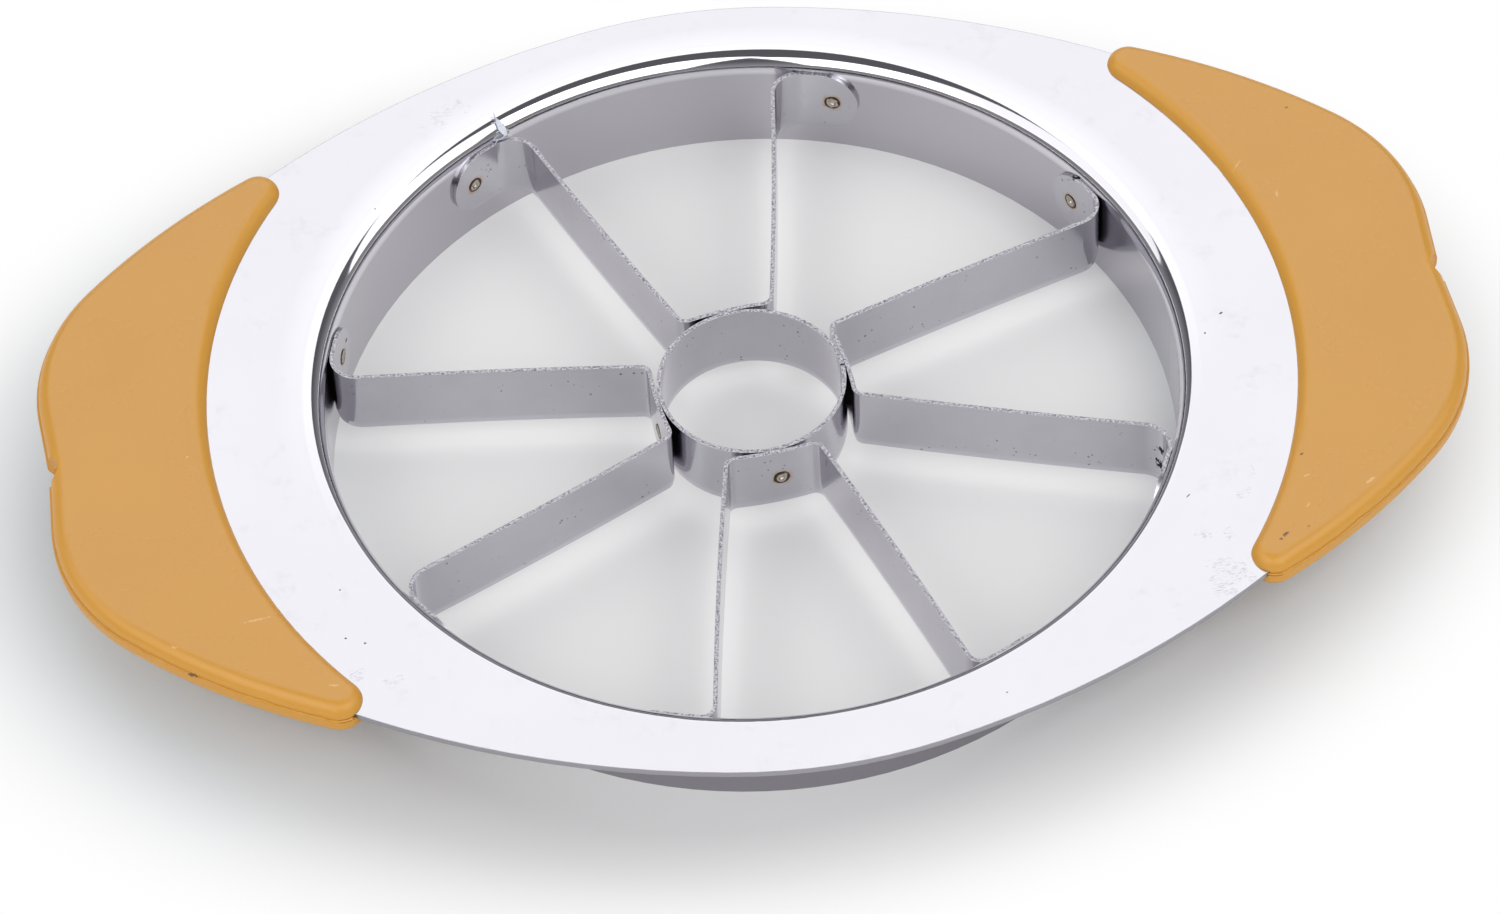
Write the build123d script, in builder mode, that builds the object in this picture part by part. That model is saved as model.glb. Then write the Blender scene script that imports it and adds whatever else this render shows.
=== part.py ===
from build123d import *
import os
from math import acos, asin, atan2, cos, degrees, hypot, radians, sin, sqrt

# Apple corer and slicer, pushed down over the fruit with both hands.
# Millimetres. The origin is the centre of the collar's bottom rim, on which the tool stands.
# +X runs towards the right grip, +Y away from the user and +Z up.

# ---- Driving dimensions ----------------------------------------------------------------------------

# Frame: one stainless sheet, blanked and deep-drawn
sheet = 0.8                     # thickness of the blank
collar_bore = 100.4             # inside diameter of the drawn collar
collar_height = 14.3            # bottom rim to the plate's top face
draw_radius = 1.6               # hollow side of the bend between collar and plate
plate_width = 118.0             # across the two long bowed edges
plate_length = 154.0            # over the ends, which lie hidden in the grips
crown_radius = 63.0             # long edge, over its middle
crown_angle = 11.0              # half of the angle that the crown arc spans
flank_radius = 113.0            # long edge, from the crown to the end
plate_corner_radius = 9.0
anchor_diameter = 5.0           # holes that the moulding flows through
anchor_inset = 6.0              # from the plate's end to the holes' centres
anchor_side = 9.0               # from the long edge to the centre of the nearest hole
anchors_per_end = 3

# Core ring: a strip rolled to a ring, its ends butted but not closed
core_bore = 21.3
core_wall = 0.5
core_seam = 0.25                # open slit between the two ends
core_seam_angle = 2.0           # degrees from +X

# Blade strips
strip_thickness = 0.5
strip_height = 9.0
strip_drop = 2.0                # from the plate's top face down to the strips' top edges
ground_height = 1.0             # height of the sharpened bevel along the lower edge
ground_land = 0.12              # thickness left at the cutting edge
saddle_half_length = 5.5        # from the saddle's middle to its bend
saddle_bow_radius = 40.0        # the saddle is flatter than the ring it is welded to
saddle_bend_radius = 1.2        # centreline
spoke_bow = 0.25                # springback bow of each spoke, away from its partner
tab_length = 10.6               # along the collar, from the unrounded corner to the tab's end
seat_gap = 0.03                 # between a strip and the wall it is welded to

# Each strip: the way its saddle faces, in degrees from +X, the two corners where its spokes meet the
# collar, in degrees from the way it faces, and the centreline radius of its bends at the collar.
strips = {
    "blade_right": (6.4, -25.7, 14.8, 3.2),
    "blade_back": (96.0, -18.3, 19.1, 3.2),
    "blade_left": (185.4, -16.7, 21.1, 3.2),
    "blade_front": (273.4, -17.5, 17.5, 1.6),
}

# Spot welds
nugget_diameter = 1.9
nugget_depth = 0.3              # how far the fused core reaches into the ring or the collar
nugget_fit = 0.02               # between the fused core and the sheets, kept so each stays a solid
crater_depth = 0.16             # dent that the electrode leaves
crater_rim = 0.07               # burr standing proud round the crater
crater_rim_width = 0.2
crater_floor = 0.6              # diameter of the flat floor of the dent
tab_weld_distance = 3.2         # from the tab's end to the weld's centre
saddle_weld_offset = 0.8        # along the ring, from the saddle's middle to the weld's centre

# Grips: one moulding round each end of the plate
grip_cover_top = 1.5            # thickness of the moulding above the plate
grip_cover_bottom = 1.6
hollow_distance = 11.2          # from the draw bend to the hollow edge, which follows the collar
grip_overhang = 5.4             # middle of the outer edge, beyond the plate's end
lobe_rise = 1.0                 # how much further out the outer edge lies at the shoulders
shoulder_drop = 41.0            # unrounded shoulder, inside the widest place of the plate
shoulder_radius = 23.5
flank_bow_radius = 84.5         # flank, from the tip to the shoulder
tip_radius = 2.6
long_tip_angle = 36.6           # degrees from X to the centre of the longer tip's rounding
short_tip_angle = 35.8
grip_round_top = 1.7
grip_round_bottom = 1.0
mould_step = 0.25               # the lower mould half is a little larger than the upper one
pocket_gap = 0.05               # shrinkage gap round the plate's edge and in the anchor holes
tip_slot_length = 2.0           # slot at each tip, where the melt did not close round the plate's edge
tip_slot_width = 1.8
tip_slot_height = 0.3
tip_slot_offset = 0.6           # along X, from the centre of the tip's rounding towards the collar
gate_radius = 2.0               # recess in the outer edge where the moulding was fed
gate_recess = 1.0
gate_nub_diameter = 1.1         # torn-off stub of the sprue
gate_nub_length = 0.6

# ---- Derived sizes -----------------------------------------------------------------------------------

bore_radius = collar_bore / 2
bend_crown = draw_radius + sheet            # rounded side of the bend
plate_bottom = collar_height - sheet
plate_end = plate_length / 2
flank_centre_x = (crown_radius - flank_radius) * sin(radians(crown_angle))
flank_centre_y = plate_width / 2 - crown_radius + (crown_radius - flank_radius) * cos(radians(crown_angle))


def plate_half_width(x):
    """Half of the blank's width, at a distance from its middle that lies past the crown."""
    return flank_centre_y + sqrt(flank_radius**2 - (x - flank_centre_x) ** 2)


anchor_x = plate_end - anchor_inset
anchor_pitch = 2 * (plate_half_width(anchor_x) - anchor_side) / (anchors_per_end - 1)
core_outer = core_bore / 2 + core_wall
strip_bottom = collar_height - strip_drop - strip_height
strip_middle = strip_bottom + strip_height / 2
tab_radius = bore_radius - seat_gap - strip_thickness / 2
saddle_radius = core_outer + seat_gap + strip_thickness / 2
parting = plate_bottom + sheet / 2          # where the two mould halves meet
grip_inner_radius = bore_radius + bend_crown + hollow_distance
grip_reach = plate_end + grip_overhang
shoulder_x = grip_reach + lobe_rise
shoulder_y = plate_width / 2 - shoulder_drop
tip_orbit = grip_inner_radius + tip_radius


def polar(radius, angle):
    """Plan position at a distance from the tool's axis, the angle in degrees from +X."""
    return (radius * cos(radians(angle)), radius * sin(radians(angle)))


def ground_section(side):
    """Cross-section of the strip stock, up along x, sharpened from both sides along its lower edge."""
    land = ground_land / 2
    face = strip_thickness / 2
    with BuildSketch() as section:
        with BuildLine():
            Polyline(
                (0, side - land),
                (ground_height, side - face),
                (strip_height, side - face),
                (strip_height, side + face),
                (ground_height, side + face),
                (0, side + land),
                close=True,
            )
        make_face()
    return section.sketch


def plate_outline():
    """Plan of the blank: two bowed long edges, cut off square at the hidden ends."""
    flank_end = degrees(asin((plate_end - flank_centre_x) / flank_radius))
    with BuildSketch() as outline:
        with BuildLine():
            crown = JernArc((0, plate_width / 2), (1, 0), crown_radius, -crown_angle)
            flank = JernArc(crown @ 1, crown % 1, flank_radius, crown_angle - flank_end)
            Line(flank @ 1, (plate_end, 0))
            mirror(about=Plane.YZ)
            mirror(about=Plane.XZ)
        make_face()
        fillet(outline.vertices().filter_by(lambda v: abs(v.X) > plate_end - 0.01), plate_corner_radius)
    return outline.sketch


def radial_plane(radius, angle, outward):
    """Plane standing on a cylinder round the tool's axis at the strips' mid-height."""
    x, y = polar(radius, angle)
    sign = 1 if outward else -1
    return Plane(origin=(x, y, strip_middle), x_dir=(0, 0, 1), z_dir=(sign * x, sign * y, 0))


def tab_planes(strip, setback):
    """Planes on the collar wall, set back from the ends of a strip's two tabs, x up and z outwards."""
    facing, low, high, _ = strips[strip]
    reach = degrees((tab_length - setback) / tab_radius)
    return [
        radial_plane(bore_radius, facing + low - reach, True),
        radial_plane(bore_radius, facing + high + reach, True),
    ]


def saddle_plane(strip):
    """Plane on the ring behind the weld of a strip's saddle, z inwards."""
    offset_angle = degrees(saddle_weld_offset / core_outer)
    return radial_plane(core_outer, strips[strip][0] + offset_angle, False)


tab_welds = [plane for strip in strips for plane in tab_planes(strip, tab_weld_distance)]
saddle_welds = [saddle_plane(strip) for strip in strips]

os.makedirs("parts", exist_ok=True)

# ---- Frame -------------------------------------------------------------------------------------------

# Collar wall and draw bend are turned from one section and run flush into the flat of the plate.
with BuildPart() as frame_plate:
    with BuildSketch(Plane.XY.offset(plate_bottom)):
        add(plate_outline())
        Circle(bore_radius + bend_crown, mode=Mode.SUBTRACT)
        with GridLocations(2 * anchor_x, anchor_pitch, 2, anchors_per_end):
            Circle(anchor_diameter / 2, mode=Mode.SUBTRACT)
    extrude(amount=sheet)
    with BuildSketch(Plane.XZ):
        with BuildLine():
            inside = Line((bore_radius, 0), (bore_radius, collar_height - bend_crown))
            crest = JernArc(inside @ 1, (0, 1), bend_crown, -90)
            lip = Line(crest @ 1, (bore_radius + bend_crown, plate_bottom))
            hollow = JernArc(lip @ 1, (-1, 0), draw_radius, 90)
            outside = Line(hollow @ 1, (bore_radius + sheet, 0))
            Line(outside @ 1, inside @ 0)
        make_face()
    revolve(axis=Axis.Z)
    with Locations(*tab_welds):
        Cylinder(nugget_diameter / 2 + nugget_fit, 2 * (nugget_depth + nugget_fit), mode=Mode.SUBTRACT)
frame_plate.part.label = "frame_plate"
export_step(frame_plate.part, "parts/frame_plate.step")

# ---- Core ring ---------------------------------------------------------------------------------------

# Rolled from the same sharpened stock as the blades; its seam stays open by the width of a slit.
with BuildPart() as core_ring:
    with BuildSketch(Plane(origin=(0, 0, strip_bottom), x_dir=(0, 0, 1), z_dir=(0, 1, 0))):
        add(ground_section(core_bore / 2 + core_wall / 2))
    revolve(axis=Axis.Z)
    with Locations(Pos(0, 0, strip_middle) * Rotation(0, 0, core_seam_angle)):
        with Locations((core_bore / 2 + core_wall / 2, 0)):
            Box(4 * core_wall, core_seam, 2 * strip_height, mode=Mode.SUBTRACT)
    with Locations(*saddle_welds):
        Cylinder(nugget_diameter / 2 + nugget_fit, 2 * (nugget_depth + nugget_fit), mode=Mode.SUBTRACT)
core_ring.part.label = "core_ring"
export_step(core_ring.part, "parts/core_ring.step")

# ---- Blade strips ------------------------------------------------------------------------------------

# Every strip is bent four times: tab, spoke, saddle, spoke, tab. The ground section runs along that
# route, the tabs' ends are cut round and the weld holes go through tabs and saddle.
saddle_set_back = saddle_half_length**2 / (2 * saddle_bow_radius)
tab_angle = degrees(tab_length / tab_radius)
foot_low = (saddle_radius - saddle_set_back, -saddle_half_length)
foot_high = (saddle_radius - saddle_set_back, saddle_half_length)

for name, (facing, low, high, bend_radius) in strips.items():
    strip_plane = Plane(origin=(0, 0, strip_bottom), x_dir=(*polar(1, facing), 0), z_dir=(0, 0, 1))
    low_end, high_end = tab_planes(name, strip_height / 2)
    with BuildPart() as blade:
        with BuildLine(strip_plane) as route:
            low_tab = CenterArc((0, 0), tab_radius, low - tab_angle, tab_angle)
            SagittaArc(polar(tab_radius, low), foot_low, spoke_bow)
            SagittaArc(foot_low, foot_high, -saddle_set_back)
            SagittaArc(foot_high, polar(tab_radius, high), spoke_bow)
            CenterArc((0, 0), tab_radius, high, tab_angle)
            fillet(route.vertices().sort_by_distance(strip_plane.origin)[2:], bend_radius)
            fillet(route.vertices().sort_by_distance(strip_plane.origin)[:2], saddle_bend_radius)
        with BuildSketch(Plane(origin=low_tab @ 0, x_dir=(0, 0, 1), z_dir=low_tab % 0)):
            add(ground_section(0))
        sweep(path=route.wire())
        for end, beyond in ((low_end, 1), (high_end, -1)):
            with BuildSketch(end):
                with Locations((0, beyond * strip_height / 2)):
                    Rectangle(2 * strip_height, strip_height)
                Circle(strip_height / 2, mode=Mode.SUBTRACT)
            extrude(amount=4 * strip_thickness, both=True, mode=Mode.SUBTRACT)
        with Locations(*tab_planes(name, tab_weld_distance), saddle_plane(name)):
            Cylinder(nugget_diameter / 2 + nugget_fit, 4 * strip_thickness, mode=Mode.SUBTRACT)
    blade.part.label = name
    export_step(blade.part, f"parts/{name}.step")

# ---- Spot welds --------------------------------------------------------------------------------------

# One fused core, its axis along z from the electrode's crater to inside the thicker wall.
with BuildPart() as nugget:
    with BuildSketch(Plane.XZ):
        with BuildLine():
            face = -seat_gap - strip_thickness
            side = nugget_diameter / 2
            core = Polyline((0, nugget_depth), (side, nugget_depth), (side, face - crater_rim))
            rim = Line(core @ 1, (side - crater_rim_width, face - crater_rim))
            dent = SagittaArc(rim @ 1, (crater_floor / 2, face + crater_depth), crater_rim)
            Polyline(dent @ 1, (0, face + crater_depth), core @ 0)
        make_face()
    revolve(axis=Axis.Z)

with BuildPart() as spot_welds:
    with Locations(*tab_welds, *saddle_welds):
        add(nugget.part)
spot_welds.part.label = "spot_welds"
export_step(spot_welds.part, "parts/spot_welds.step")

# ---- Grips -------------------------------------------------------------------------------------------


def flank_centre(tip_angle):
    """Centre of the flank's arc, which runs through the shoulder and hugs the tip's rounding."""
    x, y = polar(tip_orbit, tip_angle)
    chord = hypot(shoulder_x - x, shoulder_y - y)
    reach = flank_bow_radius - tip_radius
    spread = acos((flank_bow_radius**2 + chord**2 - reach**2) / (2 * flank_bow_radius * chord))
    heading = atan2(y - shoulder_y, x - shoulder_x) + spread
    return (shoulder_x + flank_bow_radius * cos(heading), shoulder_y + flank_bow_radius * sin(heading))


def grip_outline(step):
    """Plan of the right grip, a crescent round the end of the plate, grown by the mould step."""
    with BuildSketch() as outline:
        with BuildLine():
            for side, tip_angle in ((1, long_tip_angle), (-1, short_tip_angle)):
                x, y = polar(tip_orbit, tip_angle)
                centre_x, centre_y = flank_centre(tip_angle)
                normal = degrees(atan2(y - centre_y, x - centre_x))
                turn = normal - tip_angle - 180
                CenterArc((0, 0), grip_inner_radius, 0, side * tip_angle)
                tip = CenterArc((x, side * y), tip_radius, side * (180 + tip_angle), side * turn)
                RadiusArc(tip @ 1, (shoulder_x, side * shoulder_y), side * flank_bow_radius)
                Line((shoulder_x, side * shoulder_y), (grip_reach, 0))
        make_face()
        fillet(outline.vertices().filter_by(lambda v: abs(v.X - shoulder_x) < 0.01), shoulder_radius)
        if step:
            offset(amount=step)
    return outline.sketch


# Upper and lower mould halves, then the pocket that the plate's end fills. The anchor holes keep their
# posts, each tip is left open by a slot, and the feed recess in the outer edge keeps the sprue's stub.
with BuildPart() as grip_right:
    with BuildSketch(Plane.XY.offset(parting)):
        add(grip_outline(0))
    extrude(amount=sheet / 2 + grip_cover_top)
    fillet(grip_right.faces().sort_by(Axis.Z)[-1].edges(), grip_round_top)
    with BuildSketch(Plane.XY.offset(parting)):
        add(grip_outline(mould_step))
    extrude(amount=-sheet / 2 - grip_cover_bottom)
    fillet(grip_right.faces().sort_by(Axis.Z)[0].edges(), grip_round_bottom)
    with BuildSketch(Plane.XY.offset(plate_bottom)):
        add(plate_outline())
        offset(amount=pocket_gap)
        with GridLocations(2 * anchor_x, anchor_pitch, 2, anchors_per_end):
            Circle(anchor_diameter / 2 - pocket_gap, mode=Mode.SUBTRACT)
    extrude(amount=sheet, mode=Mode.SUBTRACT)
    for side, tip_angle in ((1, long_tip_angle), (-1, short_tip_angle)):
        x, y = polar(tip_orbit, tip_angle)
        with Locations((x - tip_slot_offset, side * (y + tip_radius), parting)):
            Box(tip_slot_length, tip_slot_width, tip_slot_height, mode=Mode.SUBTRACT)
    with Locations((grip_reach + gate_radius - gate_recess, 0, parting)):
        Cylinder(gate_radius, 2 * collar_height, mode=Mode.SUBTRACT)
    nub_start = grip_reach - gate_recess - gate_nub_length
    with BuildSketch(Plane(origin=(nub_start, 0, parting), x_dir=(0, 1, 0), z_dir=(1, 0, 0))):
        Circle(gate_nub_diameter / 2)
    extrude(amount=2 * gate_nub_length)
grip_right.part.label = "grip_right"
export_step(grip_right.part, "parts/grip_right.step")

# Both grips come from one mould, so the left one is the right one turned by half a turn.
with BuildPart() as grip_left:
    with Locations(Rotation(0, 0, 180)):
        add(grip_right.part)
grip_left.part.label = "grip_left"
export_step(grip_left.part, "parts/grip_left.step")
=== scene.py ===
import math
import random
import bpy
from mathutils import Matrix, Vector, noise


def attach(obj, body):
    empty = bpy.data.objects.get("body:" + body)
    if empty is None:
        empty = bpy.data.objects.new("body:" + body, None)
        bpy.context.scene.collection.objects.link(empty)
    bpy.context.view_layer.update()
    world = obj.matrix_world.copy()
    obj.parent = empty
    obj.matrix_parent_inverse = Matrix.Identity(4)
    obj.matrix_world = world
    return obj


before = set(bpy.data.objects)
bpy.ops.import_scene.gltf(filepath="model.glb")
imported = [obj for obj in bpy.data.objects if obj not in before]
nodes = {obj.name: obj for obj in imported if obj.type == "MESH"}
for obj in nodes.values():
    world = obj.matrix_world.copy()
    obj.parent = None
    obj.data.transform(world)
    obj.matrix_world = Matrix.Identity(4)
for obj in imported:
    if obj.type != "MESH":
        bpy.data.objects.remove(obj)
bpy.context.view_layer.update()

# ---- Frame -------------------------------------------------------------------------------------------
# One sheet of ferritic stainless steel, blanked, deep-drawn into the collar and polished on a mop wheel.
# The flat is a soft mirror with smudges, scuffs and a few pits, the bend is painted brighter behind the
# collar, and the wall, which the punch ironed, is satin with faint upright draw lines. The blanked edge is
# dull.

MM = 0.001


def srgb(code):
    """Linear RGBA of an sRGB hex colour."""
    parts = [int(code[i:i + 2], 16) / 255 for i in (1, 3, 5)]
    return [c / 12.92 if c <= 0.04045 else ((c + 0.055) / 1.055) ** 2.4 for c in parts] + [1.0]


def node(material, kind, inputs=None, **settings):
    """Adds a shader node with its settings. An input takes a value, an output, or a node's first output."""
    made = material.node_tree.nodes.new("ShaderNode" + kind)
    for setting, value in settings.items():
        setattr(made, setting, value)
    usable = [socket for socket in made.inputs if socket.enabled]
    for key, value in (inputs or {}).items():
        socket = usable[key] if isinstance(key, int) else next(s for s in usable if s.name == key)
        if isinstance(value, bpy.types.Node):
            value = next(output for output in value.outputs if output.enabled)
        if isinstance(value, bpy.types.NodeSocket):
            material.node_tree.links.new(value, socket)
        else:
            socket.default_value = value
    return made


def start_finish(name):
    """An empty material and the object's own coordinates in millimetres."""
    material = bpy.data.materials.new(name)
    material.use_nodes = True
    material.node_tree.nodes.clear()
    own = node(material, "TexCoord").outputs["Object"]
    return material, node(material, "VectorMath", {0: own, "Scale": 1 / MM}, operation="SCALE")


def marked(material, place, spots, ragged=0.9, grain=0.5):
    """A mask of oval marks, each x, y, z, turn in degrees, length and width in mm, with a ragged border."""
    worn = node(material, "TexNoise", {"Vector": place, "Scale": 1 / grain, "Detail": 3, "Roughness": 0.7})
    worn = node(material, "MapRange", {"Value": worn, "From Min": 0.3, "From Max": 0.7,
                                       "To Min": -ragged, "To Max": ragged})
    least_depth = 0.4           # mm
    mask = 0.0
    for x, y, z, turn, length, width in spots:
        depth = max(width, least_depth)
        oval = node(material, "Mapping", {"Vector": place, "Location": (x, y, z),
                                          "Rotation": (0, 0, math.radians(turn)),
                                          "Scale": (length / 2, width / 2, depth / 2)},
                    vector_type="TEXTURE")
        far = node(material, "VectorMath", {0: oval}, operation="LENGTH").outputs["Value"]
        far = node(material, "Math", {0: far, 1: worn}, operation="ADD")
        inside = node(material, "MapRange", {"Value": far, "From Min": 1.1, "From Max": 0.8})
        mask = node(material, "Math", {0: inside, 1: mask}, operation="MAXIMUM")
    return mask


def dress(part, material):
    """Gives a CAD node its material."""
    nodes[part].data.materials.clear()
    nodes[part].data.materials.append(material)


bend_inside = 52.6              # mm from the axis, where the bend runs into the flat
bend_foot = 11.9                # mm up, where the bend runs into the wall
bend_blend = 0.2                # mm either side of bend_inside, over which flat and bend blend
foot_blend = 0.4                # mm either side of bend_foot, over which bend and wall blend
flat = 14.3                     # mm up, the top of the flat
wall_middle = (50.5, 50.7)      # mm from the axis, inside the wall's thickness
shine_start = -15               # mm back from the axis, where the painted highlight on the bend begins
shine_full = 30                 # mm back, where the painted highlight on the bend is strongest
dish_rim = 56.0                 # mm from the axis
dish_foot = 53.5                # mm from the axis, where the painted highlight of the dish is strongest
scuffs = [(48.8, -40.6, flat, 30, 5, 4), (47.2, -42.8, flat, 10, 3, 2),
          (52.7, -29.0, flat, 60, 2.4, 1.3), (53.9, -26.5, flat, 100, 2, 1.2),
          (49.6, -34.9, flat, 80, 2.4, 1.2), (47.0, -34.6, flat, 40, 2.4, 1.6),
          (-51.0, -36.5, flat, 20, 2, 1.4), (-47.0, -38.0, flat, 20, 1.8, 1.2),
          (67.0, 6.0, flat, 80, 14, 2), (66.0, 12.5, flat, 100, 5, 1.6),
          (-30.0, 47.5, flat, 30, 5, 2)]
pits = [(55.74, -2.07, flat, 20, 0.5, 0.26), (53.24, -4.76, flat, 60, 0.3, 0.2),
        (-51.6, -30.9, flat, 0, 0.3, 0.24), (-49.5, -32.0, flat, 0, 0.34, 0.26),
        (46.1, -28.6, flat, 40, 0.8, 0.14), (-51.4, -23.8, flat, 0, 0.2, 0.2),
        (-40.2, 33.8, flat, 0, 0.2, 0.2), (20.3, -52.6, flat, 0, 0.2, 0.2)]

steel, place = start_finish("mop_polished_stainless_sheet")
spot = node(steel, "SeparateXYZ", {0: place})
height = spot.outputs["Z"]
in_plan = node(steel, "CombineXYZ", {0: spot.outputs["X"], 1: spot.outputs["Y"]})
radius = node(steel, "VectorMath", {0: in_plan}, operation="LENGTH").outputs["Value"]
collar = node(steel, "MapRange", {"Value": radius, "From Min": bend_inside + bend_blend,
                                  "From Max": bend_inside - bend_blend})
below = node(steel, "MapRange", {"Value": height, "From Min": bend_foot + foot_blend,
                                 "From Max": bend_foot - foot_blend})
wall = node(steel, "Math", {0: collar, 1: below}, operation="MULTIPLY")
# The blanking burr was wiped round, so the sheet's edge turns over about 0.1 mm.
turned = node(steel, "Bevel", {"Radius": 0.12 * MM}, samples=6)
upright = node(steel, "SeparateXYZ", {0: turned}).outputs["Z"]
upright = node(steel, "Math", {0: upright}, operation="ABSOLUTE")
edge = node(steel, "MapRange", {"Value": upright, "From Min": 0.93, "From Max": 0.6})
outside_collar = node(steel, "Math", {0: 1.0, 1: collar}, operation="SUBTRACT")
edge = node(steel, "Math", {0: edge, 1: outside_collar}, operation="MULTIPLY")

# Hair lines of the mop; real ones are a few micrometres wide, too fine to show, so they are drawn 0.3 mm.
mopped = node(steel, "Mapping", {"Vector": place, "Scale": (0.03, 1, 1)})
mop_lines = node(steel, "TexNoise", {"Vector": mopped, "Scale": 1 / 0.3, "Detail": 2, "Roughness": 0.6})
# The punch left upright lines in the wall, drawn 0.5 mm wide for the same reason.
drawn = node(steel, "Mapping", {"Vector": place, "Scale": (1, 1, 0.02)})
draw_lines = node(steel, "TexNoise", {"Vector": drawn, "Scale": 1 / 0.5, "Detail": 3, "Roughness": 0.6})
haze = node(steel, "TexNoise", {"Vector": place, "Scale": 1 / 25, "Detail": 3, "Roughness": 0.55})
# Fingers and packing left a thin smudge in patches.
smudge = node(steel, "TexNoise", {"Vector": place, "Scale": 1 / 5, "Detail": 7, "Roughness": 0.78})
smudge = node(steel, "MapRange", {"Value": smudge, "From Min": 0.55, "From Max": 0.8, "To Max": 0.5})

# Scuffs are short crossing scratches, drawn 0.15 mm wide, inside the worn places only.
scratches = 0.0
for turn in (0.3, 1.2, 2.3):
    aslant = node(steel, "Mapping", {"Vector": place, "Rotation": (0, 0, turn), "Scale": (0.2, 1, 1)})
    streak = node(steel, "TexNoise", {"Vector": aslant, "Scale": 1 / 0.15, "Detail": 1, "Roughness": 0.5})
    streak = node(steel, "MapRange", {"Value": streak, "From Min": 0.6, "From Max": 0.7})
    scratches = node(steel, "Math", {0: streak, 1: scratches}, operation="MAXIMUM")
worn_places = marked(steel, place, scuffs, ragged=1.0, grain=1.5)
scuffed = node(steel, "Math", {0: scratches, 1: worn_places}, operation="MULTIPLY")
pitted = marked(steel, place, pits, ragged=0.3, grain=0.2)
# The bend is painted brighter behind the collar than in front of it: a painted highlight.
behind = node(steel, "MapRange", {"Value": spot.outputs["Y"], "From Min": shine_start,
                                  "From Max": shine_full})
bend = node(steel, "Math", {0: collar, 1: below}, operation="SUBTRACT")
bend_painted_highlight = node(steel, "Math", {0: bend, 1: behind}, operation="MULTIPLY")
# The wall's outer face ran over the die; under the flat it is painted darker as shade.
die_side_painted_shade = node(steel, "MapRange", {"Value": radius, "From Min": wall_middle[0],
                                    "From Max": wall_middle[1]})
die_side_painted_shade = node(steel, "Math", {0: die_side_painted_shade, 1: wall}, operation="MULTIPLY")

tone = node(steel, "Mix", {"Factor": haze, "A": srgb("#CECDD3"), "B": srgb("#D6D5DA")}, data_type="RGBA")
tone = node(steel, "Mix", {"Factor": smudge, "A": tone, "B": srgb("#BEBCC4")}, data_type="RGBA")
# Behind the collar the real flat is slightly dished next to the bend and takes more light there. The
# solid is level, so a paler tone is painted there as that highlight.
dish_painted_highlight = node(steel, "MapRange", {"Value": radius, "From Min": dish_rim, "From Max": dish_foot,
                                  "To Max": 0.9})
dish_painted_highlight = node(steel, "Math", {0: dish_painted_highlight, 1: behind}, operation="MULTIPLY")
tone = node(steel, "Mix", {"Factor": dish_painted_highlight, "A": tone, "B": srgb("#DCDBE0")}, data_type="RGBA")
tone = node(steel, "Mix", {"Factor": wall, "A": tone, "B": srgb("#C1BFC5")}, data_type="RGBA")
tone = node(steel, "Mix", {"Factor": bend_painted_highlight, "A": tone, "B": srgb("#E6E5EA")}, data_type="RGBA")
tone = node(steel, "Mix", {"Factor": die_side_painted_shade, "A": tone, "B": srgb("#9F9DA3")}, data_type="RGBA")
tone = node(steel, "Mix", {"Factor": edge, "A": tone, "B": srgb("#A3A1A7")}, data_type="RGBA")
faint_scuff = node(steel, "Math", {0: scuffed, 1: 0.22}, operation="MULTIPLY")
tone = node(steel, "Mix", {"Factor": faint_scuff, "A": tone, "B": srgb("#8B8A91")}, data_type="RGBA")
tone = node(steel, "Mix", {"Factor": pitted, "A": tone, "B": srgb("#5B5A5F")}, data_type="RGBA")

gloss = node(steel, "MapRange", {"Value": haze, "From Min": 0.3, "From Max": 0.7,
                                 "To Min": 0.08, "To Max": 0.13})
satin = node(steel, "MapRange", {"Value": draw_lines, "From Min": 0.3, "From Max": 0.7,
                                 "To Min": 0.14, "To Max": 0.2})
gloss = node(steel, "Mix", {"Factor": wall, "A": gloss, "B": satin}, data_type="FLOAT")
gloss = node(steel, "Mix", {"Factor": bend, "A": gloss, "B": 0.07}, data_type="FLOAT")
gloss = node(steel, "Mix", {"Factor": edge, "A": gloss, "B": 0.4}, data_type="FLOAT")
gloss = node(steel, "Mix", {"Factor": scuffed, "A": gloss, "B": 0.4}, data_type="FLOAT")
relief = node(steel, "Mix", {"Factor": wall, "A": mop_lines, "B": draw_lines}, data_type="FLOAT")
# The bend's polished face is a true torus, so its shading normal points away from the bend's own axis.
shrink = node(steel, "Math", {0: bend_inside, 1: radius}, operation="DIVIDE")
shrink = node(steel, "Math", {0: 1.0, 1: shrink}, operation="SUBTRACT")
torus_x = node(steel, "Math", {0: spot.outputs["X"], 1: shrink}, operation="MULTIPLY")
torus_y = node(steel, "Math", {0: spot.outputs["Y"], 1: shrink}, operation="MULTIPLY")
torus_z = node(steel, "Math", {0: height, 1: bend_foot}, operation="SUBTRACT")
torus = node(steel, "CombineXYZ", {0: torus_x, 1: torus_y, 2: torus_z})
torus = node(steel, "VectorMath", {0: torus}, operation="NORMALIZE")
outward = node(steel, "VectorMath", {0: torus, 1: node(steel, "NewGeometry").outputs["True Normal"]},
               operation="DOT_PRODUCT").outputs["Value"]
outer_face = node(steel, "Math", {0: outward, 1: 0.5}, operation="GREATER_THAN")
polished = node(steel, "Math", {0: outer_face, 1: bend}, operation="MULTIPLY")
smooth = node(steel, "Mix", {"Factor": polished, "A": turned, "B": torus}, data_type="VECTOR")
bump = node(steel, "Bump", {"Strength": 0.25, "Distance": 0.002 * MM, "Height": relief, "Normal": smooth})
shader = node(steel, "BsdfPrincipled", {"Base Color": tone, "Metallic": 1.0, "Roughness": gloss,
                                        "Normal": bump})
node(steel, "OutputMaterial", {"Surface": shader})
dress("frame_plate", steel)

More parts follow.
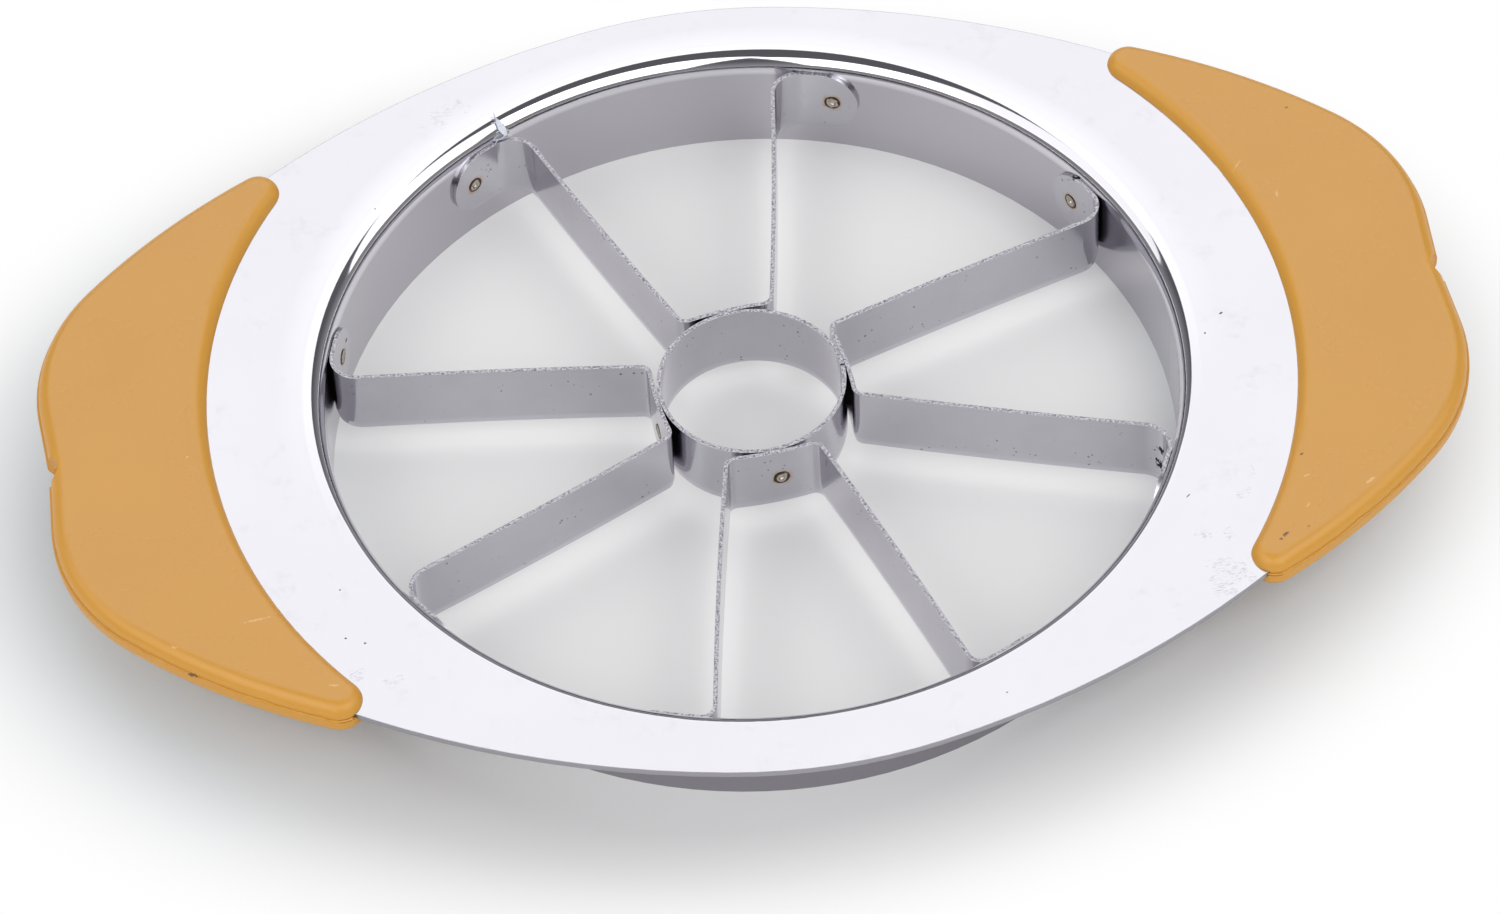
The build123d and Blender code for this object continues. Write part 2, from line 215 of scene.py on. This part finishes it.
# ---- Film shred --------------------------------------------------------------------------------------
# A frayed shred of the blank's protective film, thin white polyethylene, still pinched behind the left
# fold of the back blade and lying up over the bend. Stretched and torn, so it looks milky.

shred_path = [(-24.1, 46.7, 14.44), (-23.95, 46.0, 14.36), (-23.7, 45.35, 14.1), (-23.5, 44.85, 13.65),
              (-23.2, 44.5, 13.25), (-22.9, 44.25, 12.85), (-23.2, 43.95, 12.6), (-23.9, 43.75, 12.5),
              (-24.8, 43.9, 12.45)]
shred_widths = [0.1, 0.5, 0.85, 1.0, 1.15, 1.0, 0.75, 0.55, 0.12]
wisp_widths = [0.3, 0.2, 0.05]
wisp_sag = 0.05                 # mm, how far a wisp's middle strays from a straight line
half_film = 0.04                # mm, drawn thicker than real film so that it shows
film_faces = Vector((-0.45, 0.85, 0.3))  # away from the axis and a little up
shred_wisps = [((-23.6, 44.9, 13.7), (-22.7, 45.1, 13.85)), ((-23.2, 44.5, 13.2), (-22.3, 44.5, 13.2)),
               ((-23.1, 44.25, 12.9), (-22.2, 44.0, 12.6)), ((-23.7, 45.6, 14.25), (-24.6, 45.95, 14.42)),
               ((-24.1, 43.85, 12.5), (-24.5, 43.1, 12.46)), ((-23.8, 45.2, 14.0), (-24.6, 45.2, 14.1)),
               ((-23.4, 44.6, 13.3), (-24.2, 44.4, 13.1))]

film, place = start_finish("torn_polyethylene_film")
crumple = node(film, "TexNoise", {"Vector": place, "Scale": 1 / 0.25, "Detail": 3})
tone = node(film, "Mix", {"Factor": crumple, "A": srgb("#C9CFDD"), "B": srgb("#EEF0F6")}, data_type="RGBA")
bump = node(film, "Bump", {"Strength": 0.4, "Distance": 0.05 * MM, "Height": crumple})
shader = node(film, "BsdfPrincipled", {"Base Color": tone, "Roughness": 0.55, "IOR": 1.51, "Normal": bump})
node(film, "OutputMaterial", {"Surface": shader})

dice = random.Random(7)
corners = []
faces = []


def tear(path, widths):
    """A crumpled ribbon through the given points in millimetres, as a closed thin band."""
    start = len(corners)
    for step, (point, width) in enumerate(zip(path, widths)):
        ahead = Vector(path[min(step + 1, len(path) - 1)]) - Vector(path[max(step - 1, 0)])
        aside = ahead.cross(film_faces).normalized() * width / 2
        proud = aside.cross(ahead).normalized() * half_film
        for across in (-1, 0, 1):
            ragged = aside * across * dice.uniform(0.6, 1.25)
            lift = Vector((0, 0, dice.uniform(-0.06, 0.12)))
            corners.append((Vector(point) + ragged + lift + proud) * MM)
            corners.append((Vector(point) + ragged + lift - proud) * MM)
    for step in range(len(path) - 1):
        a = start + 6 * step
        b = a + 6
        for left, right in ((0, 2), (2, 4)):
            faces.append((a + left, a + right, b + right, b + left))
            faces.append((a + left + 1, b + left + 1, b + right + 1, a + right + 1))
        faces.append((a, b, b + 1, a + 1))
        faces.append((a + 4, a + 5, b + 5, b + 4))
    last = start + 6 * (len(path) - 1)
    for first, turn in ((start, 1), (last, -1)):
        for left in (0, 2):
            faces.append((first + left, first + left + 1, first + left + 3, first + left + 2)[::turn])


tear(shred_path, shred_widths)
for root, tip in shred_wisps:
    middle = [(r + t) / 2 + wisp_sag for r, t in zip(root, tip)]
    tear([root, middle, tip], wisp_widths)
shred_mesh = bpy.data.meshes.new("film_shred")
shred_mesh.from_pydata(corners, [], faces)
shred_mesh.materials.append(film)
shred_mesh.shade_smooth()
shred = bpy.data.objects.new("film_shred", shred_mesh)
bpy.context.scene.collection.objects.link(shred)
shred.modifiers.new("soft_folds", "SUBSURF").render_levels = 2
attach(shred, "root")

# ---- Core ring and blades ----------------------------------------------------------------------------
# Cold-rolled martensitic stainless strip, slit to width, sharpened along its lower edge and bent in a
# jig. The rolled faces are a soft mirror with a few specks; the slit upper edge is torn and speckled
# between two burrs painted bright as edge highlights; heat has tinted the steel straw and brown round
# the spot welds.

# Each weld's middle is the mean of its nugget's corners.
weld_gap = 2.2                  # mm, the corners of one nugget lie closer to its middle than this
weld_places = []
for corner in nodes["spot_welds"].data.vertices:
    same = [weld for weld in weld_places if (weld[0] / weld[1] - corner.co).length < weld_gap * MM]
    if same:
        same[0][0] += corner.co
        same[0][1] += 1
    else:
        weld_places.append([corner.co.copy(), 1])
weld_places = [total / count / MM for total, count in weld_places]
far_from_welds = 99.0           # mm, farther than any place on the strips

# Dark places on the strips: spatter and scorching that the welding left, and torn corners.
scorches = {
    "blade_right": [(45.6, -17.1, 9.1, 0, 1.4, 0.9), (44.9, -16.6, 8.6, 0, 0.5, 0.4),
                    (45.4, -17.1, 6.5, 0, 2.0, 1.2), (46.4, -17.8, 6.9, 0, 0.8, 0.7),
                    (44.2, -16.3, 5.8, 0, 0.5, 0.4), (43.65, 24.3, 12.2, 0, 0.9, 0.7),
                    (17.6, -5.9, 6.4, 0, 0.6, 0.4)],
    "blade_left": [(-43.6, -24.2, 11.4, 0, 1.0, 0.7), (-44.4, -25.2, 10.6, 0, 1.0, 0.8),
                   (-43.0, -25.8, 9.4, 0, 0.8, 0.9), (-45.8, 18.6, 8.5, 0, 0.6, 0.8),
                   (-42.0, -22.5, 8.0, 0, 0.3, 0.4)],
    "blade_back": [(20.2, 45.1, 11.6, 0, 0.6, 0.5)],
    "blade_front": [(-12.8, -47.0, 11.9, 0, 0.4, 0.4), (-1.5, -17.5, 10.4, 0, 0.3, 0.3),
                    (1.0, -17.3, 9.0, 0, 0.25, 0.3), (4.0, -17.0, 9.9, 0, 0.3, 0.3)],
    "core_ring": [(9.5, -5.6, 8.8, 0, 0.4, 0.5)],
}
for name in ("core_ring", "blade_right", "blade_back", "blade_left", "blade_front"):
    strip, place = start_finish("cold_rolled_" + name)
    rounded = node(strip, "Bevel", {"Radius": 0.07 * MM}, samples=6)
    upward = node(strip, "SeparateXYZ", {0: node(strip, "NewGeometry").outputs["True Normal"]}).outputs["Z"]
    slit = node(strip, "MapRange", {"Value": upward, "From Min": 0.5, "From Max": 0.8})

    # Roll lines run along the strip. They are drawn 0.15 mm wide and the torn grain of the slit edge
    # 0.3 mm, both coarser than real, so that they show.
    rolled = node(strip, "Mapping", {"Vector": place, "Scale": (0.02, 0.02, 1)})
    roll_lines = node(strip, "TexNoise", {"Vector": rolled, "Scale": 1 / 0.15, "Detail": 2,
                                          "Roughness": 0.6})
    stain = node(strip, "TexNoise", {"Vector": place, "Scale": 1 / 6, "Detail": 4, "Roughness": 0.6})
    torn = node(strip, "TexNoise", {"Vector": place, "Scale": 1 / 0.3, "Detail": 3, "Roughness": 0.75})
    pores = node(strip, "TexVoronoi", {"Vector": place, "Scale": 1 / 0.8})
    patchy = node(strip, "TexNoise", {"Vector": place, "Scale": 1 / 3, "Detail": 2})
    pore_size = node(strip, "MapRange", {"Value": patchy, "From Min": 0.45, "From Max": 0.75,
                                         "To Max": 0.25})
    pores = node(strip, "Math", {0: pores.outputs["Distance"], 1: pore_size}, operation="LESS_THAN")
    scorched = marked(strip, place, scorches[name], ragged=1.2, grain=0.6)

    tone = node(strip, "Mix", {"Factor": stain, "A": srgb("#BDBBC2"), "B": srgb("#CAC8CF")},
                data_type="RGBA")
    if name != "core_ring":
        to_weld = far_from_welds
        for weld in weld_places:
            far = node(strip, "VectorMath", {0: place, 1: weld}, operation="DISTANCE").outputs["Value"]
            to_weld = node(strip, "Math", {0: far, 1: to_weld}, operation="MINIMUM")
        uneven = node(strip, "TexNoise", {"Vector": place, "Scale": 1 / 0.8, "Detail": 2})
        uneven = node(strip, "MapRange", {"Value": uneven, "To Min": -0.5, "To Max": 0.5})
        heat = node(strip, "Math", {0: to_weld, 1: uneven}, operation="ADD")
        straw = node(strip, "MapRange", {"Value": heat, "From Min": 1.5, "From Max": 1.0, "To Max": 0.6})
        brown = node(strip, "MapRange", {"Value": heat, "From Min": 1.1, "From Max": 0.95, "To Max": 0.5})
        tone = node(strip, "Mix", {"Factor": straw, "A": tone, "B": srgb("#C4A87C")}, data_type="RGBA")
        tone = node(strip, "Mix", {"Factor": brown, "A": tone, "B": srgb("#5E4734")}, data_type="RGBA")
    tone = node(strip, "Mix", {"Factor": pores, "A": tone, "B": srgb("#85838A")}, data_type="RGBA")

    # The slit edge is dark and torn, with a burr along each side whose bright tone is a painted highlight.
    upper = node(strip, "MapRange", {"Value": torn, "From Min": 0.38, "From Max": 0.6})
    upper = node(strip, "Mix", {"Factor": upper, "A": srgb("#5F5D63"), "B": srgb("#C4C2C9")},
                 data_type="RGBA")
    burr_and_highlight = node(strip, "SeparateXYZ", {0: rounded}).outputs["Z"]
    burr_and_highlight = node(strip, "MapRange", {"Value": burr_and_highlight, "From Min": 0.98, "From Max": 0.86})
    upper = node(strip, "Mix", {"Factor": burr_and_highlight, "A": upper, "B": srgb("#EDECF2")}, data_type="RGBA")
    tone = node(strip, "Mix", {"Factor": slit, "A": tone, "B": upper}, data_type="RGBA")
    tone = node(strip, "Mix", {"Factor": scorched, "A": tone, "B": srgb("#36353A")}, data_type="RGBA")

    gloss = node(strip, "MapRange", {"Value": roll_lines, "From Min": 0.3, "From Max": 0.7,
                                     "To Min": 0.12, "To Max": 0.18})
    gloss = node(strip, "Mix", {"Factor": slit, "A": gloss, "B": 0.33}, data_type="FLOAT")
    gloss = node(strip, "Mix", {"Factor": scorched, "A": gloss, "B": 0.7}, data_type="FLOAT")
    faint = node(strip, "Math", {0: roll_lines, 1: 0.1}, operation="MULTIPLY")
    relief = node(strip, "Mix", {"Factor": slit, "A": faint, "B": torn}, data_type="FLOAT")
    bump = node(strip, "Bump", {"Strength": 0.5, "Distance": 0.02 * MM, "Height": relief,
                                "Normal": rounded})
    shader = node(strip, "BsdfPrincipled", {"Base Color": tone, "Metallic": 1.0, "Roughness": gloss,
                                            "Normal": bump})
    node(strip, "OutputMaterial", {"Surface": shader})
    dress(name, strip)

# ---- Spot welds --------------------------------------------------------------------------------------
# Resistance welds: each one shows as a shallow crater with a proud rim, oxidised brown and blue along
# the rim and bare steel in the middle, where the electrode kept the air out.

weld_steel, place = start_finish("oxidised_weld_steel")
to_weld = far_from_welds
for weld in weld_places:
    far = node(weld_steel, "VectorMath", {0: place, 1: weld}, operation="DISTANCE").outputs["Value"]
    to_weld = node(weld_steel, "Math", {0: far, 1: to_weld}, operation="MINIMUM")
crust = node(weld_steel, "TexNoise", {"Vector": place, "Scale": 1 / 0.6, "Detail": 3, "Roughness": 0.6})
uneven = node(weld_steel, "MapRange", {"Value": crust, "To Min": -0.5, "To Max": 0.5})
heat = node(weld_steel, "Math", {0: to_weld, 1: uneven}, operation="ADD")
rim = node(weld_steel, "MapRange", {"Value": heat, "From Min": 0.62, "From Max": 0.8})
bare = node(weld_steel, "Mix", {"Factor": crust, "A": srgb("#9C8F80"), "B": srgb("#E3DED6")},
            data_type="RGBA")
tone = node(weld_steel, "Mix", {"Factor": rim, "A": bare, "B": srgb("#4C3B31")}, data_type="RGBA")
bump = node(weld_steel, "Bump", {"Strength": 0.5, "Distance": 0.05 * MM, "Height": crust})
shader = node(weld_steel, "BsdfPrincipled", {"Base Color": tone, "Metallic": 1.0, "Roughness": 0.32,
                                             "Normal": bump})
node(weld_steel, "OutputMaterial", {"Surface": shader})
dress("spot_welds", weld_steel)

# ---- Grips -------------------------------------------------------------------------------------------
# Ochre thermoplastic, injection-moulded round the ends of the plate. Half gloss from a worn mould, with
# faint orange peel and cloudy flow marks, whitened scratches and ground-in specks of dirt.

grip_top = 15.8                 # mm up
dirt = [(55.5, -37.4, grip_top, 30, 0.8, 0.4), (54.8, -38.0, grip_top, 0, 0.4, 0.3),
        (59.9, -26.2, grip_top, 20, 0.5, 0.25), (-69.0, -32.6, 13.9, -20, 1.3, 0.45),
        (58.3, -36.8, grip_top, 20, 0.3, 0.25), (70.2, 27.5, grip_top, 0, 0.35, 0.3)]
pale_marks = [(66.7, -31.5, grip_top, 30, 1.2, 0.35), (59.8, -29.4, grip_top, 20, 0.9, 0.25),
              (58.9, -33.8, grip_top, 60, 0.7, 0.25), (-61.0, -27.5, grip_top, 5, 2.6, 0.2),
              (-64.4, -35.5, grip_top, 0, 0.35, 0.25), (-63.2, -35.8, grip_top, 0, 0.25, 0.2),
              (-53.7, -38.5, grip_top, -10, 1.1, 0.25), (-70.8, -29.6, 15.6, -30, 0.7, 0.25),
              (64.5, -33.8, 15.4, 35, 2.4, 0.35), (62.0, 19.0, grip_top, 50, 2.0, 0.2),
              (66.0, 14.0, grip_top, 80, 1.2, 0.25), (-66.5, -2.0, grip_top, 70, 0.5, 0.3)]

plastic, place = start_finish("moulded_ochre_plastic")
flow = node(plastic, "TexNoise", {"Vector": place, "Scale": 1 / 14, "Detail": 4, "Roughness": 0.6})
peel = node(plastic, "TexNoise", {"Vector": place, "Scale": 1 / 1.4, "Detail": 2, "Roughness": 0.5})
combed = node(plastic, "Mapping", {"Vector": place, "Rotation": (0, 0, 1.1), "Scale": (0.06, 1, 1)})
hairs = node(plastic, "TexNoise", {"Vector": combed, "Scale": 1 / 0.3, "Detail": 2, "Roughness": 0.6})
hairs = node(plastic, "MapRange", {"Value": hairs, "From Min": 0.74, "From Max": 0.82, "To Max": 0.4})
dirty = marked(plastic, place, dirt, ragged=0.8, grain=0.3)
scraped = marked(plastic, place, pale_marks, ragged=0.9, grain=0.4)
whitened = node(plastic, "Math", {0: scraped, 1: hairs}, operation="MAXIMUM")

tone = node(plastic, "Mix", {"Factor": flow, "A": srgb("#C48D38"), "B": srgb("#CC9541")}, data_type="RGBA")
# Along its rounding the plastic is duller and painted a deeper gold as shade,
# fading out over 2.5 mm of the top.
round_over = node(plastic, "Bevel", {"Radius": 2.5 * MM}, samples=12)
tilt = node(plastic, "SeparateXYZ", {0: round_over}).outputs["Z"]
rounding_painted_shade = node(plastic, "MapRange", {"Value": tilt, "From Min": 0.99, "From Max": 0.8})
tone = node(plastic, "Mix", {"Factor": rounding_painted_shade, "A": tone, "B": srgb("#D0942C")}, data_type="RGBA")
faintly_white = node(plastic, "Math", {0: whitened, 1: 0.55}, operation="MULTIPLY")
tone = node(plastic, "Mix", {"Factor": faintly_white, "A": tone, "B": srgb("#E6C48E")}, data_type="RGBA")
tone = node(plastic, "Mix", {"Factor": dirty, "A": tone, "B": srgb("#6B4A2C")}, data_type="RGBA")
gloss = node(plastic, "MapRange", {"Value": flow, "From Min": 0.3, "From Max": 0.7,
                                   "To Min": 0.24, "To Max": 0.32})
gloss = node(plastic, "Mix", {"Factor": rounding_painted_shade, "A": gloss, "B": 0.42}, data_type="FLOAT")
gloss = node(plastic, "Mix", {"Factor": whitened, "A": gloss, "B": 0.5}, data_type="FLOAT")
bump = node(plastic, "Bump", {"Strength": 0.2, "Distance": 0.02 * MM, "Height": peel})
shader = node(plastic, "BsdfPrincipled", {"Base Color": tone, "Roughness": gloss, "IOR": 1.6,
                                          "Normal": bump})
node(plastic, "OutputMaterial", {"Surface": shader})
for grip in ("grip_left", "grip_right"):
    dress(grip, plastic)

# The mould leaked along its parting line: thin ragged flash fills the step between the two halves and
# stands up as lips near the tips, where the mould was bruised.
parting = 13.9                  # mm up, top of the step
step_width = 0.25               # mm, how far the lower half stands out
lower_side = 12.9               # mm up, where only the lower half's outline has corners
same_height = 0.02              # mm
outer_edge = 66.4               # mm from the axis, beyond which an outline corner is on the outer edge
gate_reach = (78.0, 2.2)        # mm, the notch where the moulding was fed: beyond this x and within this y
fin_pitch = 0.35                # mm between cross-sections
shortest = 0.001                # mm, a stretch of outline shorter than this is skipped
lips = [(64.6, -35.7, 0.35, 2.6), (55.5, -41.2, 0.22, 1.6), (61.5, 38.0, 0.2, 2.0)]  # x, y, height, reach
least_rise = 0.02               # mm, how far the flash stands up at least
mean_rise = 0.07                # mm
rise_spread = 0.09              # mm for each unit of the ripple
buried = 0.02                   # mm, how far the foot lies below the top of the step
for grip, sign in (("grip_left", -1), ("grip_right", 1)):
    # The left grip is handled after half a turn about the axis, as if it were a right one.
    outline = []
    for corner in nodes[grip].data.vertices:
        turned = corner.co / MM * sign
        if abs(corner.co.z / MM - lower_side) < same_height and math.hypot(turned.x, turned.y) > outer_edge:
            outline.append((math.atan2(turned.y, turned.x), turned.x, turned.y))
    outline.sort()
    runs = [[]]
    for (_, ax, ay), (_, bx, by) in zip(outline, outline[1:]):
        length = math.hypot(bx - ax, by - ay)
        steps = max(1, round(length / fin_pitch))
        for step in range(steps if length > shortest else 0):
            x = ax + step / steps * (bx - ax)
            y = ay + step / steps * (by - ay)
            if x > gate_reach[0] and abs(y) < gate_reach[1]:
                if runs[-1]:
                    runs.append([])
            else:
                runs[-1].append((x, y, (by - ay) / length, -(bx - ax) / length))
    corners = []
    faces = []
    for path in runs:
        first = len(corners)
        for x, y, out_x, out_y in path:
            ripple = noise.noise((x * 0.9, y * 0.9, 3.1 * sign)) + 0.6 * noise.noise((x * 3.1, y * 3.1, 8.7))
            rise = max(least_rise, mean_rise + rise_spread * ripple)
            for lip_x, lip_y, tall, reach in lips:
                rise += tall * max(0.0, 1 - math.hypot(x - lip_x, y - lip_y) / reach)
            # The cross-section's corners: the inner foot lies just inside the upper half, the inner crest
            # beside it, and the outer crest and foot stand in from the step's rim.
            for inset, up in ((step_width + 0.05, -0.02), (step_width - 0.02, rise + 0.04),
                              (0.13 + 0.03 * ripple, rise), (0.04, 0.0)):
                corners.append((sign * (x - out_x * inset) * MM, sign * (y - out_y * inset) * MM,
                                (parting - buried + up) * MM))
        last = len(corners) - 4
        for a in range(first, last, 4):
            for near, far in ((0, 1), (1, 2), (2, 3), (3, 0)):
                faces.append((a + near, a + 4 + near, a + 4 + far, a + far))
        faces.append((first, first + 1, first + 2, first + 3))
        faces.append((last + 3, last + 2, last + 1, last))
    fin_mesh = bpy.data.meshes.new("flash_" + grip)
    fin_mesh.from_pydata(corners, [], faces)
    fin_mesh.materials.append(plastic)
    fin = bpy.data.objects.new("flash_" + grip, fin_mesh)
    bpy.context.scene.collection.objects.link(fin)
    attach(fin, "root")

# ---- Floor -------------------------------------------------------------------------------------------
# White sweep paper, burnt out to pure white outside the tool's own shadow and part of the way inside the
# collar. Under the grips the paper is a shade cooler, which balances the ochre light they throw on it.

floor_half = 3.0                # m
shadow_left = 5                 # mm, how far left of the axis the shadow is centred
lit_inside = (56, 49)           # mm from that centre, between which the paper in the collar starts to glow
shadow_half = (83, 59)          # mm, half the length and half the width of the shadow's oval
shadow_fade = (0.92, 1.27)      # of that oval, between which the paper burns out
grip_shade = (44, 72)           # mm to either side, between which the cooler shade sets in

floor_mesh = bpy.data.meshes.new("sweep_floor")
floor_corners = [(x * floor_half, y * floor_half, 0) for x, y in ((-1, -1), (1, -1), (1, 1), (-1, 1))]
floor_mesh.from_pydata(floor_corners, [], [(0, 1, 2, 3)])
floor = bpy.data.objects.new("sweep_floor", floor_mesh)
bpy.context.scene.collection.objects.link(floor)
paper, place = start_finish("white_sweep_paper")
centred = node(paper, "Mapping", {"Vector": place, "Location": (shadow_left, 0, 0)})
reach = node(paper, "VectorMath", {0: centred}, operation="LENGTH").outputs["Value"]
inner = node(paper, "MapRange", {"Value": reach, "From Min": lit_inside[0], "From Max": lit_inside[1],
                                 "To Max": 0.26})
oval = node(paper, "Mapping", {"Vector": centred, "Scale": (1 / shadow_half[0], 1 / shadow_half[1], 0)})
reach = node(paper, "VectorMath", {0: oval}, operation="LENGTH").outputs["Value"]
outer = node(paper, "MapRange", {"Value": reach, "From Min": shadow_fade[0], "From Max": shadow_fade[1]},
             interpolation_type="SMOOTHSTEP")
burnt_out = node(paper, "Math", {0: inner, 1: outer}, operation="MAXIMUM")
sideways = node(paper, "SeparateXYZ", {0: place}).outputs["X"]
sideways = node(paper, "Math", {0: sideways}, operation="ABSOLUTE")
cool = node(paper, "MapRange", {"Value": sideways, "From Min": grip_shade[0], "From Max": grip_shade[1]})
cool = node(paper, "Math", {0: cool, 1: outer}, operation="SUBTRACT", use_clamp=True)
tint = node(paper, "Mix", {"Factor": cool, "A": srgb("#E4E4E4"), "B": srgb("#DCE4EA")}, data_type="RGBA")

# The glow shows to the camera and in mirrors only, so it adds no light to the tool's matt surfaces.
rays = node(paper, "LightPath").outputs
seen = node(paper, "Math", {0: rays["Is Glossy Ray"], 1: rays["Is Transmission Ray"]}, operation="MAXIMUM")
seen = node(paper, "Math", {0: rays["Is Camera Ray"], 1: seen}, operation="MAXIMUM")
lift = node(paper, "Math", {0: seen, 1: burnt_out}, operation="MULTIPLY")
matt = node(paper, "BsdfPrincipled", {"Base Color": tint, "Roughness": 0.9, "Specular IOR Level": 0.0})
glow = node(paper, "Emission", {"Color": (1, 1, 1, 1), "Strength": 1.0})
node(paper, "OutputMaterial", {"Surface": node(paper, "MixShader", {0: lift, 1: matt, 2: glow})})
floor_mesh.materials.append(paper)

# ---- Light -------------------------------------------------------------------------------------------
# A light tent: a big tilted softbox behind, a white panel on each side and two in front with the lens
# between them. The room is pale below the horizon, grey low down and dark overhead, so the polished
# bend has something to mirror.


def panel(name, centre, width, length, radiance, aim=(0, 0, 0)):
    """A rectangular lamp of a given radiance, aimed at a point; places and sizes are in metres."""
    lamp = bpy.data.lights.new(name, "AREA")
    lamp.shape = "RECTANGLE"
    lamp.size = width
    lamp.size_y = length
    lamp.energy = radiance * math.pi * width * length
    made = bpy.data.objects.new(name, lamp)
    bpy.context.scene.collection.objects.link(made)
    made.rotation_euler = (Vector(aim) - Vector(centre)).to_track_quat("-Z", "Y").to_euler()
    made.location = centre
    made.visible_camera = False


panel("back_softbox", (0.07, 0.5925, 0.62), 1.0, 0.95, 1.275, aim=(0.035, 0.013, 0))
panel("left_panel", (-0.8, 0.05, 0.7), 1.2, 0.8, 1.1)
panel("right_panel", (0.8, -0.15, 0.7), 0.85, 0.8, 1.4)
panel("front_left_panel", (-0.58, -0.6, 0.64), 0.78, 0.78, 1.9)
panel("front_right_panel", (0.31, -0.62, 0.64), 0.78, 0.78, 1.9)

world = bpy.data.worlds.new("dark_studio_pale_horizon")
bpy.context.scene.world = world
world.use_nodes = True
world.node_tree.nodes.clear()
pale_floor = (0.85, 0.85, 0.86, 1)
grey_walls = (0.28, 0.28, 0.285, 1)
dark_ceiling = (0.11, 0.11, 0.118, 1)
rise = node(world, "SeparateXYZ", {0: node(world, "TexCoord").outputs["Generated"]}).outputs["Z"]
above_floor = node(world, "MapRange", {"Value": rise, "From Min": 0.0, "From Max": 0.03})
overhead = node(world, "MapRange", {"Value": rise, "From Min": 0.1, "From Max": 0.5})
room = node(world, "Mix", {"Factor": overhead, "A": grey_walls, "B": dark_ceiling}, data_type="RGBA")
room = node(world, "Mix", {"Factor": above_floor, "A": pale_floor, "B": room}, data_type="RGBA")
node(world, "OutputWorld", {"Surface": node(world, "Background", {"Color": room})})

# ---- Camera ------------------------------------------------------------------------------------------
# Long lens, looking down at fifty degrees from just left of the front and rolled three degrees.

azimuth, elevation, roll = (math.radians(angle) for angle in (-7.07245, 49.96733, -3.04594))
distance, aside, above = (length * MM for length in (693.046, 0.10601, -10.30585))
aim_height = 14.3 * MM
focal_width = 5918.03 / 1500    # focal length over the frame's width, both in pixels
forward = Vector((-math.sin(azimuth) * math.cos(elevation), math.cos(azimuth) * math.cos(elevation),
                  -math.sin(elevation)))
right = Vector((math.cos(azimuth), math.sin(azimuth), 0))
down = forward.cross(right)
view_right = math.cos(roll) * right - math.sin(roll) * down
view_down = math.sin(roll) * right + math.cos(roll) * down
eye = -(view_right * aside + view_down * above + forward * distance) + Vector((0, 0, aim_height))
lens = bpy.data.cameras.new("camera")
lens.sensor_fit = "HORIZONTAL"
lens.sensor_width = 36
lens.lens = focal_width * lens.sensor_width
lens.clip_start = 0.01
camera = bpy.data.objects.new("camera", lens)
bpy.context.scene.collection.objects.link(camera)
view_turn = Matrix((view_right, -view_down, -forward)).transposed().to_4x4()
camera.matrix_world = Matrix.Translation(eye) @ view_turn
bpy.context.scene.camera = camera
bpy.context.scene.view_settings.view_transform = "Standard"
